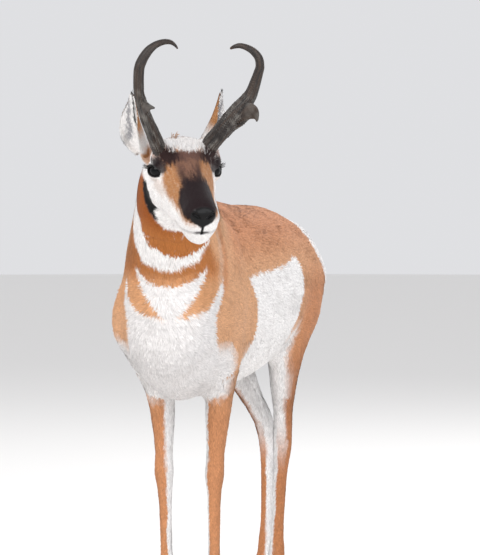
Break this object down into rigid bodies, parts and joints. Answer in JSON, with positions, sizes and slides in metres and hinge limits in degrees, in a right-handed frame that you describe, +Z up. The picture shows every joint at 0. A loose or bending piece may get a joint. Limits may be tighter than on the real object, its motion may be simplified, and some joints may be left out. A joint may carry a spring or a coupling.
{
  "type": "pronghorn",
  "caption": "Standing pronghorn buck, life size, head turned to its left, with forked hooked horns and a short mane, resting on its hooves.",
  "frame": {"origin": "centre of the model's box in plan, at the level of the floor that the hooves stand on", "axes": "+X to the animal's left side, -Y the way its chest faces, +Z up"},
  "size_m": [0.449, 1.3744, 1.2315],
  "materials": {
    "coat": "short dense hair, tan above and white below",
    "mane": "dense hair with a russet mane",
    "rump_hair": "white hair",
    "horn": "dark rough horn, smoother towards the tips",
    "eye": "wet dark eye",
    "hoof": "smooth dark hoof"
  },
  "bodies": {
    "root": {"torso": "coat", "neck": "mane", "head": "coat", "ear_left": "coat", "ear_right": "coat", "eye_left": "eye", "eye_right": "eye", "horn_left": "horn", "horn_right": "horn", "tail": "rump_hair", "leg_front_left": "coat", "leg_front_right": "coat", "leg_hind_left": "coat", "leg_hind_right": "coat", "hoof_front_left_inner": "hoof", "hoof_front_left_outer": "hoof", "hoof_front_right_inner": "hoof", "hoof_front_right_outer": "hoof", "hoof_hind_left_inner": "hoof", "hoof_hind_left_outer": "hoof", "hoof_hind_right_inner": "hoof", "hoof_hind_right_outer": "hoof"}
  },
  "joints": []
}
